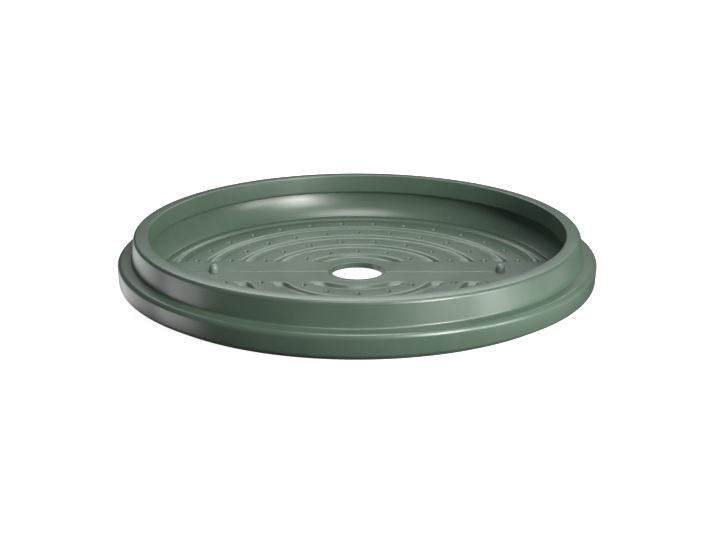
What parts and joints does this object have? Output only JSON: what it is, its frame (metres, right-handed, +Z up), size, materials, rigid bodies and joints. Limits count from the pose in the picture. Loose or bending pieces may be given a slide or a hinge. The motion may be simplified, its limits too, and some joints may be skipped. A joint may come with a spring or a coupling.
{
  "type": "compost bin base tray",
  "caption": "Round perforated base tray for a compost bin: a double-walled ring with a ledge and collar, and two lift-out half-moon floor plates over a cross bar.",
  "frame": {"origin": "centre of the ring on the ground", "axes": "+Z up along the ring's axis, +X along the floor's seam, +Y towards the rear floor plate"},
  "size_m": [0.8, 0.8, 0.088],
  "materials": {
    "ring_plastic": "satin moulded polyethylene",
    "floor_plastic": "satin moulded polyethylene",
    "bar_plastic": "satin moulded polyethylene",
    "peg_plastic": "satin moulded polyethylene"
  },
  "bodies": {
    "base": {"base_ring": "ring_plastic", "cross_bar": "bar_plastic", "peg_left": "peg_plastic", "peg_right": "peg_plastic"},
    "front_plate": {"floor_front": "floor_plastic"},
    "rear_plate": {"floor_rear": "floor_plastic"}
  },
  "joints": [
    {"name": "front_plate_lift", "type": "slide", "parent": "base", "child": "front_plate", "axis": [0, 0, 1], "range_m": [0, 0.12]},
    {"name": "rear_plate_lift", "type": "slide", "parent": "base", "child": "rear_plate", "axis": [0, 0, 1], "range_m": [0, 0.12]}
  ]
}
